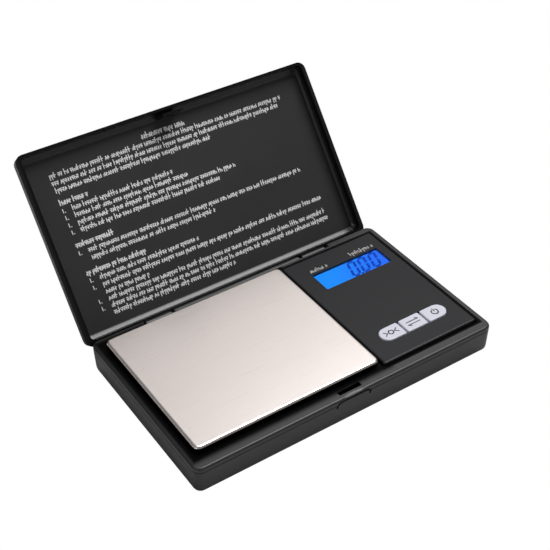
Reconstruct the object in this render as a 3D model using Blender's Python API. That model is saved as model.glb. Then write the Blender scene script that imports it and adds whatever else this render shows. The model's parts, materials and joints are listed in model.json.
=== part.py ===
"""Flip-lid pocket gram scale, standing open: case, steel tray on its load cell, display, keys and lid.

The origin is the centre of the case's underside. +X runs along the case from the tray to the display,
+Y runs towards the hinge and +Z is up. Sizes are in millimetres, and MM turns them into metres.
"""

import math

import bmesh
import bpy
from mathutils import Vector

MM = 0.001
GAP = 0.3  # clearance between pieces that touch or nearly touch
TINY = 0.05  # least corner radius left where a rounded outline is inset
CORNER_STEPS = 4
ROUND_STEPS = 16

# Case
CASE_W, CASE_D, CASE_CORNER = 130.0, 76.2, 3.2
PARTING_Z, DECK_Z = 9.8, 12.0
WALL, FLOOR, DECK_THICK = 1.6, 1.4, 1.4
BASE_EDGE, DECK_EDGE, DRAFT = 1.8, 0.8, 0.3
DECK_UNDER = DECK_Z - DECK_THICK
HALF_W, HALF_D = CASE_W / 2, CASE_D / 2

# Lid and hinge
HINGE_Y, HINGE_Z, LID_OPEN = HALF_D - 0.2, 9.4, 128.5
LID_RIM, LID_TOP, LID_SKIN, LID_EDGE, LID_LEAN = DECK_Z + GAP, 18.6, 1.3, 2.0, 0.4
LID_MOUTH = (-62.6, 63.2, -37.0, 35.7)
LID_INSIDE = (-61.9, 62.5, -34.3, 33.95)
LID_ROUND = ((0.94, 1.6), (0.90, 1.0), (0.0, 0.0))  # share of the way out, depth below the floor
BARREL_R, PIN_R = 1.65, 0.75
BARREL_END, KNUCKLE_START, KNUCKLE_END, NOTCH_END = 28.9, 30.6, 41.4, 42.8
NOTCH_Y = 35.9
HOOK_HALF, HOOK_Y, HOOK_TIP = 4.4, -34.85, 8.5
CATCH_Y, CATCH_Z, CATCH_R = -35.85, 9.85, 0.25
SLOT_HALF, SLOT_FRONT, SLOT_BACK = 4.9, -36.0, -34.0
ARCH_HALF, ARCH_TOP, ARCH_GROOVE = 6.8, 10.4, 0.8

# Tray, its carrier and the load cell
TRAY = (-61.0, 16.4, -31.7, 33.9)
TRAY_TOP, TRAY_THICK, TRAY_SKIRT = 14.5, 0.5, 1.25
TRAY_CORNER, TRAY_FOLD = 2.4, 1.1
CARRIER_LOW, CARRIER_TOP = 12.5, TRAY_TOP - TRAY_THICK - GAP
BEAM = (-45.3, -0.3, -4.1, 4.9)
BEAM_LOW, BEAM_TOP = 3.2, 9.2
BEAM_Y = (BEAM[2] + BEAM[3]) / 2
FREE_SCREWS, FIXED_SCREWS, STOP_X = (-41.5, -35.5), (-10.2, -4.2), -38.5

# Control panel, display and keys
PANEL = (17.4, 61.4, -32.9, 33.5)
PANEL_TOP, PANEL_SKIN, PANEL_EDGE, PANEL_GAP, FLANGE = 13.0, 1.4, 0.9, 0.55, 1.2
FLANGE_LOW, FLANGE_TOP = 9.0, DECK_UNDER - GAP
WINDOW = (25.3, 57.1, 12.95, 23.35)
KEY_FRONT, KEY_BACK, KEY_TOP = -24.55, -17.5, 13.55
KEY_SPANS = {"tare": (24.75, 34.7), "mode": (35.5, 44.95), "power": (45.75, 55.55)}
BOARD = (19.6, 60.0, -30.8, 30.8)
BOARD_LOW, BOARD_TOP = 5.0, 6.6
BOARD_SCREWS = {"left": (21.6, 2.0), "right": (57.8, 2.0)}

# Power and fixings
CELL_R, CELL_LENGTH, CELL_Z = 5.1, 44.5, 6.6
FRONT_CELL_Y, REAR_CELL_Y = -27.8, -17.0
BAY = (-51.5, -1.5, -33.3, -11.3)
DOOR_THICK, DOOR_HINGE_X, DOOR_HINGE_Z = 1.1, -51.9, 0.1
TONGUES = ((-32.9, -31.6), (-23.9, -20.9), (-13.2, -11.9))
CORNER_X, CORNER_Y, FOOT_R, FOOT_DROP = 57.5, 31.0, 4.2, 0.6


def paint(name, colour, roughness, metallic=0.0):
    """A Principled material, made once for each name."""
    found = bpy.data.materials.get(name)
    if found:
        return found
    made = bpy.data.materials.new(name)
    made.use_nodes = True
    shader = made.node_tree.nodes["Principled BSDF"]
    shader.inputs["Base Color"].default_value = (*colour, 1.0)
    shader.inputs["Roughness"].default_value = roughness
    shader.inputs["Metallic"].default_value = metallic
    return made


def black_plastic():
    return paint("black_plastic", (0.030, 0.030, 0.032), 0.5)


def fascia_plastic():
    return paint("fascia_plastic", (0.040, 0.040, 0.045), 0.45)


def inner_plastic():
    return paint("inner_plastic", (0.04, 0.04, 0.042), 0.5)


def key_plastic():
    return paint("key_plastic", (0.72, 0.72, 0.80), 0.35)


def steel():
    return paint("brushed_steel", (0.78, 0.74, 0.72), 0.35, 1.0)


def screw_steel():
    return paint("screw_steel", (0.35, 0.35, 0.36), 0.35, 1.0)


def nickel():
    return paint("nickel", (0.70, 0.70, 0.68), 0.25, 1.0)


def aluminium():
    return paint("aluminium", (0.80, 0.81, 0.82), 0.4, 1.0)


def box_of(box, grow):
    """The rectangle (x0, x1, y0, y1) grown on every side."""
    return box[0] - grow, box[1] + grow, box[2] - grow, box[3] + grow


def ring(box, z, corner=0.0, inset=0.0, corner_right=None):
    """Points of a rectangle at height z, anticlockwise from above: rounded if it has a corner radius."""
    x0, x1, y0, y1 = box_of(box, -inset)
    if not corner:
        return [Vector((x, y, z)) for x, y in ((x1, y1), (x0, y1), (x0, y0), (x1, y0))]
    left = max(corner - inset, TINY)
    right = left if corner_right is None else max(corner_right - inset, TINY)
    centres = (
        (x1 - right, y1 - right, right, 0.0),
        (x0 + left, y1 - left, left, 90.0),
        (x0 + left, y0 + left, left, 180.0),
        (x1 - right, y0 + right, right, 270.0),
    )
    points = []
    for cx, cy, radius, start in centres:
        for step in range(CORNER_STEPS + 1):
            angle = math.radians(start + 90.0 * step / CORNER_STEPS)
            points.append(Vector((cx + radius * math.cos(angle), cy + radius * math.sin(angle), z)))
    return points


def fillet(box, z, radius, corner, start=0.0, up=True, steps=4, corner_right=None):
    """Rings of a rounded edge: inwards as z rises to its top, or outwards from its bottom."""
    rings = []
    for step in range(steps + 1):
        angle = math.radians(90.0 * step / steps)
        inset = start + radius * (1.0 - math.cos(angle))
        rise = radius * math.sin(angle)
        height = z - radius + rise if up else z + radius - rise
        rings.append(ring(box, height, corner, inset, corner_right))
    return rings if up else rings[::-1]


def finish(name, bm, material, origin=(0.0, 0.0, 0.0), smooth=35.0):
    """Turns a bmesh in millimetres into an object whose origin is at the given point."""
    bmesh.ops.remove_doubles(bm, verts=bm.verts, dist=1e-5)
    bmesh.ops.recalc_face_normals(bm, faces=bm.faces)
    bmesh.ops.translate(bm, verts=bm.verts, vec=-Vector(origin))
    bmesh.ops.scale(bm, verts=bm.verts, vec=(MM, MM, MM))
    mesh = bpy.data.meshes.new(name)
    bm.to_mesh(mesh)
    bm.free()
    mesh.shade_smooth()
    mesh.set_sharp_from_angle(angle=math.radians(smooth))
    made = bpy.data.objects.new(name, mesh)
    made.location = Vector(origin) * MM
    if material:
        made.data.materials.append(material)
    bpy.context.scene.collection.objects.link(made)
    return made


def loft(name, rings, material=None, origin=(0.0, 0.0, 0.0)):
    """A closed solid through rings that have the same number of points, lowest ring first."""
    bm = bmesh.new()
    rows = [[bm.verts.new(point) for point in points] for points in rings]
    count = len(rings[0])
    for low, high in zip(rows, rows[1:]):
        for i in range(count):
            j = (i + 1) % count
            bm.faces.new((low[i], low[j], high[j], high[i]))
    bm.faces.new(rows[0][::-1])
    bm.faces.new(rows[-1])
    return finish(name, bm, material, origin)


def block(name, box, low, high, material=None, corner=0.0, origin=(0.0, 0.0, 0.0)):
    """A flat-sided block, its vertical edges rounded if it has a corner radius."""
    return loft(name, [ring(box, low, corner), ring(box, high, corner)], material, origin)


def turned(name, profile, centre, material=None, along="Z", origin=(0.0, 0.0, 0.0), sides=ROUND_STEPS):
    """A turned solid: profile lists (radius, distance along the axis), lowest distance first."""
    bm = bmesh.new()
    rows = []
    for radius, distance in profile:
        row = []
        for i in range(sides):
            angle = 2.0 * math.pi * i / sides
            a, b = radius * math.cos(angle), radius * math.sin(angle)
            offset = {"Z": (a, b, distance), "X": (distance, a, b), "Y": (b, distance, a)}[along]
            row.append(bm.verts.new(Vector(centre) + Vector(offset)))
        rows.append(row)
    for low, high in zip(rows, rows[1:]):
        for i in range(sides):
            j = (i + 1) % sides
            bm.faces.new((low[i], low[j], high[j], high[i]))
    bm.faces.new(rows[0][::-1])
    bm.faces.new(rows[-1])
    return finish(name, bm, material, origin)


def rod(name, x, y, low, high, radius, material=None, origin=(0.0, 0.0, 0.0), sides=ROUND_STEPS):
    """An upright cylinder."""
    return turned(name, [(radius, low), (radius, high)], (x, y, 0.0), material, "Z", origin, sides)


def outline_along_y(name, points, front, back, material=None, origin=(0.0, 0.0, 0.0)):
    """An outline given as (x, z) points, extruded along Y."""
    bm = bmesh.new()
    face = bm.faces.new([bm.verts.new((x, front, z)) for x, z in points])
    extruded = bmesh.ops.extrude_face_region(bm, geom=[face])
    moved = [item for item in extruded["geom"] if isinstance(item, bmesh.types.BMVert)]
    bmesh.ops.translate(bm, verts=moved, vec=(0.0, back - front, 0.0))
    return finish(name, bm, material, origin)


def outline_along_x(name, points, left, right, material=None, origin=(0.0, 0.0, 0.0)):
    """An outline given as (y, z) points, extruded along X."""
    bm = bmesh.new()
    face = bm.faces.new([bm.verts.new((left, y, z)) for y, z in points])
    extruded = bmesh.ops.extrude_face_region(bm, geom=[face])
    moved = [item for item in extruded["geom"] if isinstance(item, bmesh.types.BMVert)]
    bmesh.ops.translate(bm, verts=moved, vec=(right - left, 0.0, 0.0))
    return finish(name, bm, material, origin)


def wire(name, points, radius, material):
    """A round wire through the points, which are in millimetres."""
    curve = bpy.data.curves.new(name, "CURVE")
    curve.dimensions = "3D"
    curve.bevel_depth = radius * MM
    curve.bevel_resolution = 1
    curve.use_fill_caps = True
    spline = curve.splines.new("POLY")
    spline.points.add(len(points) - 1)
    for slot, point in zip(spline.points, points):
        slot.co = (*(Vector(point) * MM), 1.0)
    made = bpy.data.objects.new(name, curve)
    made.data.materials.append(material)
    bpy.context.scene.collection.objects.link(made)
    return made


def smooth_route(corners, count):
    """Evenly spread points on a Catmull-Rom curve through the corners."""
    ends = [2 * corners[0] - corners[1], *corners, 2 * corners[-1] - corners[-2]]
    points = []
    for n in range(count):
        place = n * (len(corners) - 1) / (count - 1)
        i = min(int(place), len(corners) - 2)
        t = place - i
        a, b, c, d = ends[i : i + 4]
        points.append(
            0.5 * (2 * b + (c - a) * t + (2 * a - 5 * b + 4 * c - d) * t**2 + (3 * b - a - 3 * c + d) * t**3)
        )
    return points


def combine(target, tool, operation="DIFFERENCE"):
    """Cuts the tool from the target, or joins it on, and keeps the tool out of the model."""
    tool.hide_render = True
    tool.display_type = "WIRE"
    change = target.modifiers.new(tool.name, "BOOLEAN")
    change.operation = operation
    change.solver = "EXACT"
    change.object = tool
    if target.parent:
        tool.parent = target.parent
    return target


def join(target, tool):
    return combine(target, tool, "UNION")


def corners():
    """The four corners' names and centres, where the feet and the case screws are."""
    for side, sx in (("left", -1), ("right", 1)):
        for end, sy in (("front", -1), ("rear", 1)):
            yield f"{end}_{side}", sx * CORNER_X, sy * CORNER_Y


def case_box():
    return -HALF_W, HALF_W, -HALF_D, HALF_D


def bottom_shell():
    outline = case_box()
    rings = fillet(outline, 0.0, BASE_EDGE, CASE_CORNER, DRAFT, up=False)
    rings.append(ring(outline, PARTING_Z, CASE_CORNER))
    shell = loft("bottom_shell", rings, black_plastic())
    inside = [
        ring(outline, FLOOR, CASE_CORNER, WALL + DRAFT),
        ring(outline, PARTING_Z + 1.0, CASE_CORNER, WALL),
    ]
    combine(shell, loft("bottom_shell_inside", inside))
    add_thumb_arch(shell)
    add_hinge_barrel(shell)
    add_beam_pads(shell)
    add_battery_bay(shell)
    add_latch_posts(shell)
    for name, x, y in corners():
        join(shell, rod(f"head_pocket_wall_{name}", x, y, FLOOR - 0.5, 3.3, 3.0))
        combine(shell, rod(f"foot_recess_{name}", x, y, -1.0, 0.6, FOOT_R + GAP))
        combine(shell, rod(f"head_pocket_{name}", x, y, 0.2, 2.2, 2.2))
        combine(shell, rod(f"screw_hole_{name}", x, y, 1.0, 4.0, 1.1))
    return shell


def arch_outline(half, top, low, radius):
    """An upright arch: straight sides, and top corners of the given radius."""
    points = [(-half, low), (half, low)]
    for step in range(7):
        angle = math.radians(90.0 * step / 6)
        points.append((half - radius + radius * math.cos(angle), top - radius + radius * math.sin(angle)))
    for step in range(7):
        angle = math.radians(90.0 + 90.0 * step / 6)
        points.append((radius - half + radius * math.cos(angle), top - radius + radius * math.sin(angle)))
    return points


def add_thumb_arch(shell):
    """The tab that rises from the front wall into the deck's edge."""
    arch = arch_outline(ARCH_HALF, ARCH_TOP, PARTING_Z - 1.5, 1.6)
    join(shell, outline_along_y("thumb_arch", arch, -HALF_D + 0.02, -HALF_D + 1.2))
    for side, sign in (("left", -1), ("right", 1)):
        x0, x1 = sorted((sign * ARCH_HALF, sign * (ARCH_HALF + ARCH_GROOVE)))
        leg = (x0, x1, -HALF_D - 1.0, -HALF_D + 0.6)
        combine(shell, block(f"arch_leg_{side}", leg, PARTING_Z - 1.3, PARTING_Z + 1.0))


def add_hinge_barrel(shell):
    """The middle hinge barrel on the rear wall, bored for the pins, and room for the lid's knuckles."""
    barrel = turned(
        "middle_barrel", [(BARREL_R, -BARREL_END), (BARREL_R, BARREL_END)], (0.0, HINGE_Y, HINGE_Z), None, "X"
    )
    join(shell, barrel)
    for side, sign in (("left", -1), ("right", 1)):
        bore = sorted((sign * (BARREL_END - 7.2), sign * (BARREL_END + 1.0)))
        profile = [(PIN_R + GAP, bore[0]), (PIN_R + GAP, bore[1])]
        combine(shell, turned(f"barrel_bore_{side}", profile, (0.0, HINGE_Y, HINGE_Z), None, "X"))
        room = sorted((sign * (BARREL_END + 0.05), sign * NOTCH_END))
        profile = [(BARREL_R + 0.45, room[0]), (BARREL_R + 0.45, room[1])]
        combine(shell, turned(f"knuckle_room_{side}", profile, (0.0, HINGE_Y, HINGE_Z), None, "X"))


def add_beam_pads(shell):
    """The pad that the load cell's fixed end is screwed to, and the seat of the overload stop."""
    pad = (-14.8, BEAM[1], BEAM[2], BEAM[3])
    join(shell, block("beam_pad", pad, FLOOR - 0.5, BEAM_LOW - GAP, corner=1.0))
    join(shell, rod("stop_seat", STOP_X, BEAM_Y, FLOOR - 0.5, 2.2, 2.6))
    combine(shell, rod("stop_hole", STOP_X, BEAM_Y, -1.0, 3.0, 1.5))
    for i, x in enumerate(FIXED_SCREWS):
        combine(shell, rod(f"beam_screw_pocket_{i}", x, BEAM_Y, -1.0, 1.5, 2.4))
        combine(shell, rod(f"beam_screw_hole_{i}", x, BEAM_Y, 1.0, 4.0, 1.25))


def add_battery_bay(shell):
    """Walls round the two cells, and the opening in the floor that the door closes."""
    x0, x1, y0, y1 = BAY
    for name, box in {
        "bay_left_wall": (x0 - 1.3, x0, -HALF_D + 1.0, y1 + 1.2),
        "bay_right_wall": (x1, x1 + 1.2, -HALF_D + 1.0, y1 + 1.2),
        "bay_rear_wall": (x0 - 1.0, x1 + 1.0, y1, y1 + 1.1),
    }.items():
        join(shell, block(name, box, FLOOR - 0.5, 7.9 if name == "bay_rear_wall" else 8.0))
    combine(shell, block("door_opening", BAY, -1.0, FLOOR + 0.4, corner=1.0))
    for i, (front, rear) in enumerate(TONGUES):
        slot = (x0 - 3.0, x0 + 0.4, front - 0.5, rear + 0.5)
        combine(shell, block(f"tongue_slot_{i}", slot, FLOOR + 0.001, 4.6))
    nail = (x1 - 0.6, x1 + 1.6, -25.4, -19.4)
    combine(shell, block("door_nail_notch", nail, -1.0, 0.9, corner=1.0))


def add_latch_posts(shell):
    """Two posts whose forks hold the latch bar under the slot."""
    for side, sign in (("left", -1), ("right", 1)):
        x0, x1 = sorted((sign * 5.3, sign * 6.9))
        post = block(f"latch_post_{side}", (x0, x1, -HALF_D + 1.0, -34.4), FLOOR - 0.5, 9.7)
        join(shell, post)
        fork = (x0 - 0.4, x1 + 0.4, CATCH_Y - CATCH_R - GAP, CATCH_Y + CATCH_R + GAP)
        combine(shell, block(f"latch_fork_{side}", fork, CATCH_Z - CATCH_R - GAP, 11.0))


def top_shell():
    outline = case_box()
    low = PARTING_Z + GAP
    shell = loft(
        "top_shell",
        [ring(outline, low, CASE_CORNER)] + fillet(outline, DECK_Z, DECK_EDGE, CASE_CORNER),
        black_plastic(),
    )
    combine(
        shell,
        loft(
            "top_shell_inside",
            [ring(outline, low - 1.0, CASE_CORNER, WALL), ring(outline, DECK_UNDER, CASE_CORNER, WALL)],
        ),
    )
    add_cell_cover(shell)
    for name, x, y in corners():
        if x < 0:
            join(shell, rod(f"deck_boss_{name}", x, y, 3.6, DECK_UNDER + 0.5, 2.3))
            combine(shell, rod(f"deck_boss_hole_{name}", x, y, 3.0, 9.6, 1.1))
    combine(shell, block("panel_opening", box_of(PANEL, PANEL_GAP), 5.0, 15.0, corner=1.7))
    combine(shell, block("boss_opening", (-45.4, -31.6, -4.2, 5.0), 8.0, 15.0, corner=1.0))
    slot = (-SLOT_HALF, SLOT_HALF, SLOT_FRONT, SLOT_BACK)
    combine(shell, block("latch_slot", slot, 8.0, 15.0, corner=0.5))
    notch = (-NOTCH_END, NOTCH_END, NOTCH_Y, HALF_D + 3.0)
    combine(shell, block("hinge_notch", notch, 8.0, 15.0))
    arch = arch_outline(ARCH_HALF + ARCH_GROOVE, ARCH_TOP + ARCH_GROOVE, PARTING_Z - 1.5, 2.0)
    combine(shell, outline_along_y("arch_notch", arch, -HALF_D - 1.0, -HALF_D + 1.5))
    add_thumb_scoop(shell)
    return shell


def add_cell_cover(shell):
    """The low box under the tray that clears the tops of the two cells."""
    cover = (-52.0, -1.0, FRONT_CELL_Y - 2.4, REAR_CELL_Y + 2.4)
    rings = [ring(cover, DECK_Z - 0.5, 1.0)] + fillet(cover, 12.8, 0.4, 1.0, steps=2)
    join(shell, loft("cell_cover", rings))
    for name, y in (("front", FRONT_CELL_Y), ("rear", REAR_CELL_Y)):
        profile = [(CELL_R + GAP, BAY[0]), (CELL_R + GAP, BAY[1])]
        combine(shell, turned(f"{name}_cell_room", profile, (0.0, y, CELL_Z), None, "X"))


def add_thumb_scoop(shell):
    """A shallow hollow in the deck's front edge above the arch."""
    bm = bmesh.new()
    bmesh.ops.create_uvsphere(bm, u_segments=20, v_segments=10, radius=1.0)
    bmesh.ops.scale(bm, verts=bm.verts, vec=(9.4, 2.6, 1.55))
    bmesh.ops.translate(bm, verts=bm.verts, vec=(0.0, -HALF_D - 0.2, DECK_Z + 1.18))
    combine(shell, finish("thumb_scoop", bm, None))


def control_panel():
    flange = box_of(PANEL, FLANGE)
    rings = [
        ring(flange, FLANGE_LOW, 1.5),
        ring(flange, FLANGE_TOP, 1.5),
        ring(PANEL, FLANGE_TOP, 1.2),
    ] + fillet(PANEL, PANEL_TOP, PANEL_EDGE, 1.2, steps=3)
    panel = loft("control_panel", rings, fascia_plastic())
    inside = box_of(PANEL, -1.3)
    combine(panel, block("panel_inside", inside, FLANGE_LOW - 1.0, PANEL_TOP - PANEL_SKIN, corner=1.0))
    for name, x, y in corners():
        if x > 0:
            join(panel, rod(f"panel_boss_{name}", x, y, 3.6, PANEL_TOP - 0.9, 2.0))
            combine(panel, rod(f"panel_boss_hole_{name}", x, y, 3.0, 9.6, 1.1))
    for name, (x, y) in BOARD_SCREWS.items():
        join(panel, rod(f"board_boss_{name}", x, y, BOARD_TOP + GAP, PANEL_TOP - 0.9, 1.9))
        combine(panel, rod(f"board_boss_hole_{name}", x, y, 5.0, 10.6, 0.95))
    combine(panel, block("display_window", WINDOW, 8.0, 15.0, corner=0.5))
    keys = (KEY_SPANS["tare"][0], KEY_SPANS["power"][1], KEY_FRONT, KEY_BACK)
    half = (KEY_BACK - KEY_FRONT) / 2 + GAP
    combine(panel, block("key_opening", box_of(keys, GAP), 8.0, 15.0, corner=half - 0.01))
    return panel


def display():
    lens = box_of(WINDOW, -GAP)
    block("lcd_lens", lens, PANEL_TOP - 0.7, PANEL_TOP - 0.1, paint("clear_plastic", (0.55, 0.75, 1.0), 0.1), corner=0.4)
    pane = box_of(WINDOW, -0.35)
    ledge = (WINDOW[0] - 1.0, WINDOW[1] + 1.0, WINDOW[2] - 1.8, WINDOW[3] + 2.8)
    rings = [ring(ledge, 10.2), ring(ledge, 10.9), ring(pane, 10.9), ring(pane, PANEL_TOP - 0.9)]
    loft("lcd_glass", rings, paint("display_blue", (0.04, 0.20, 1.0), 0.15))
    light = (WINDOW[0] - 0.4, WINDOW[1] + 0.5, WINDOW[2] - 1.4, WINDOW[3] + 0.4)
    block("backlight_panel", light, 8.4, 9.9, paint("diffuser", (0.8, 0.85, 0.9), 0.5), corner=0.5)
    strip = (WINDOW[0] + 0.6, WINDOW[1] - 0.5, WINDOW[3] + 1.0, WINDOW[3] + 2.5)
    block("zebra_strip", strip, BOARD_TOP + GAP, 9.9, paint("zebra_rubber", (0.5, 0.25, 0.35), 0.7))


def board():
    main = block("main_board", BOARD, BOARD_LOW, BOARD_TOP, paint("board_green", (0.02, 0.16, 0.07), 0.45))
    for name, x, y in corners():
        if x > 0:
            combine(main, rod(f"board_relief_{name}", x, y, 3.0, 8.0, 2.6))
    for name, (x, y) in BOARD_SCREWS.items():
        combine(main, rod(f"board_hole_{name}", x, y, 3.0, 8.0, 1.0))
        profile = [(1.5, 3.5), (1.5, 4.7), (0.65, 4.7), (0.65, 10.0)]
        turned(f"board_screw_{name}", profile, (x, y, 0.0), screw_steel(), sides=12)
    dome = [(0.4, 3.3), (2.4, 3.5), (4.0, 3.95), (4.9, 4.7)]
    turned("chip_blob", dome, (38.0, 4.0, 0.0), paint("epoxy", (0.01, 0.01, 0.01), 0.3))
    can = [(1.0, 34.0), (1.0, 40.5)]
    turned("crystal_can", can, (0.0, -7.0, BOARD_LOW - GAP - 1.0), nickel(), "X", sides=12)


def keys():
    """Three caps in one opening, each over its own switch, with a plunger that goes down with it."""
    round_end = (KEY_BACK - KEY_FRONT) / 2
    mid_y = (KEY_FRONT + KEY_BACK) / 2
    for name, (x0, x1) in KEY_SPANS.items():
        left = round_end if name == "tare" else 0.7
        right = round_end if name == "power" else 0.7
        centre = ((x0 + x1) / 2, mid_y, KEY_TOP)
        outline = (x0, x1, KEY_FRONT, KEY_BACK)
        rings = [ring(outline, 10.3, left, corner_right=right)]
        rings += fillet(outline, KEY_TOP, 0.45, left, steps=3, corner_right=right)
        cap = loft(f"key_{name}", rings, key_plastic(), centre)
        lips = (centre[0] - 3.0, centre[0] + 3.0, KEY_FRONT - 0.8, KEY_BACK + 0.8)
        join(cap, block(f"key_lips_{name}", lips, 10.3, 11.0))
        join(cap, rod(f"key_stem_{name}", centre[0], mid_y, 9.9, 10.8, 1.5))
        housing = (centre[0] - 3.0, centre[0] + 3.0, mid_y - 3.0, mid_y + 3.0)
        switch = block(f"{name}_switch", housing, BOARD_TOP + GAP, 9.0, paint("switch_black", (0.02,) * 3, 0.4))
        combine(switch, rod(f"{name}_switch_bore", centre[0], mid_y, 7.1, 10.0, 1.9))
        profile = [(1.6, 7.7), (1.6, 9.5), (1.4, 9.6)]
        turned(f"{name}_plunger", profile, (centre[0], mid_y, 0.0), inner_plastic(), "Z", centre)


def tray_centre():
    return (TRAY[0] + TRAY[1]) / 2, (TRAY[2] + TRAY[3]) / 2, TRAY_TOP


def weighing_tray():
    """The folded steel pan, the carrier under it and the two screws into the load cell's free end."""
    centre = tray_centre()
    skirt_low = TRAY_TOP - TRAY_SKIRT
    rings = [ring(TRAY, skirt_low, TRAY_CORNER)] + fillet(TRAY, TRAY_TOP, TRAY_FOLD, TRAY_CORNER)
    pan = loft("weighing_tray", rings, steel(), centre)
    inner, inner_corner = box_of(TRAY, -TRAY_THICK), TRAY_CORNER - TRAY_THICK
    hollow = [ring(inner, skirt_low - 1.0, inner_corner)]
    hollow += fillet(inner, TRAY_TOP - TRAY_THICK, TRAY_FOLD - TRAY_THICK, inner_corner, steps=2)
    combine(pan, loft("tray_hollow", hollow))
    plate = (TRAY[0] + 2.5, TRAY[1] - 2.5, -13.4, TRAY[3] - 2.5)
    carrier = block("tray_carrier", plate, CARRIER_LOW, CARRIER_TOP, inner_plastic(), 2.0, centre)
    for name, x0, x1 in (("left", plate[0], -53.0), ("right", 0.4, plate[1])):
        arm = (x0 + 0.01, x1 - 0.01, TRAY[2] + 2.0, plate[2] + 4.0)
        join(carrier, block(f"carrier_arm_{name}", arm, CARRIER_LOW + 0.01, CARRIER_TOP - 0.01, corner=1.5))
    boss = (-44.8, -32.2, -3.6, 4.4)
    join(carrier, block("carrier_boss", boss, BEAM_TOP + 0.5, CARRIER_LOW + 0.4, corner=1.0))
    for letter, x in zip("ab", FREE_SCREWS):
        combine(carrier, rod(f"carrier_pocket_{letter}", x, BEAM_Y, 12.2, 15.0, 2.3))
        combine(carrier, rod(f"carrier_hole_{letter}", x, BEAM_Y, 8.0, 13.0, 1.25))
        profile = [(0.95, 4.8), (0.95, 12.5), (1.9, 12.5), (1.9, 13.4)]
        turned(f"carrier_screw_{letter}", profile, (x, BEAM_Y, 0.0), screw_steel(), "Z", centre, 12)


def load_cell():
    """The beam with its double hole, the sealed strain gauges and the four wires to the board."""
    beam = block("load_cell", BEAM, BEAM_LOW, BEAM_TOP, aluminium(), 0.4)
    middle, height = (BEAM[0] + BEAM[1]) / 2, (BEAM_LOW + BEAM_TOP) / 2
    neck = (middle - 5.0, middle + 5.0, BEAM[2] - 1.0, BEAM[3] + 1.0)
    combine(beam, block("beam_neck", neck, height - 0.8, height + 0.8))
    for side, x in (("left", middle - 5.0), ("right", middle + 5.0)):
        profile = [(2.3, BEAM[2] - 1.0), (2.3, BEAM[3] + 1.0)]
        combine(beam, turned(f"beam_eye_{side}", profile, (x, 0.0, height), None, "Y"))
    for i, x in enumerate(FREE_SCREWS + FIXED_SCREWS):
        combine(beam, rod(f"beam_hole_{i}", x, BEAM_Y, 2.0, 11.0, 1.3))
    for letter, x in zip("ab", FIXED_SCREWS):
        profile = [(1.9, 0.3), (1.9, 1.2), (0.95, 1.2), (0.95, 8.4)]
        turned(f"load_cell_screw_{letter}", profile, (x, BEAM_Y, 0.0), screw_steel(), sides=12)
    turned("overload_stop", [(1.2, 0.3), (1.2, 2.7)], (STOP_X, BEAM_Y, 0.0), screw_steel(), sides=12)
    seal = paint("white_silicone", (0.85, 0.85, 0.83), 0.6)
    patch = (middle - 7.0, middle + 7.0, BEAM_Y - 3.4, BEAM_Y + 3.4)
    block("gauge_coating_top", patch, BEAM_TOP + GAP, 10.05, seal, corner=1.5)
    block("gauge_coating_bottom", patch, 2.2, BEAM_LOW - GAP, seal, corner=1.5)
    colours = {"red": (0.6, 0.02, 0.02), "black": (0.01,) * 3, "green": (0.02, 0.35, 0.05), "white": (0.8,) * 3}
    for i, (name, colour) in enumerate(colours.items()):
        y = BEAM_Y - 1.8 + 1.2 * i
        route = [(middle + 7.3, y, 9.8), (-8.0, y, 9.8), (0.0, y, 9.7), (6.0, y - 1.0, 7.9)]
        route += [(12.0, y - 2.0, 7.3), (17.0, y - 2.5, 7.5), (22.0, y - 3.6, 7.3)]
        points = smooth_route([Vector(point) for point in route], 13)
        wire(f"load_wire_{name}", points, 0.28, paint(f"wire_{name}", colour, 0.45))


def helix(x, y, z, length, start_r, end_r, turns):
    """A cone-shaped coil along X, its wide end at x."""
    steps = 8 * turns
    for n in range(steps + 1):
        share = n / steps
        angle = 2.0 * math.pi * turns * share
        radius = start_r + (end_r - start_r) * share
        yield x + length * share, y + radius * math.cos(angle), z + radius * math.sin(angle)


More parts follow.
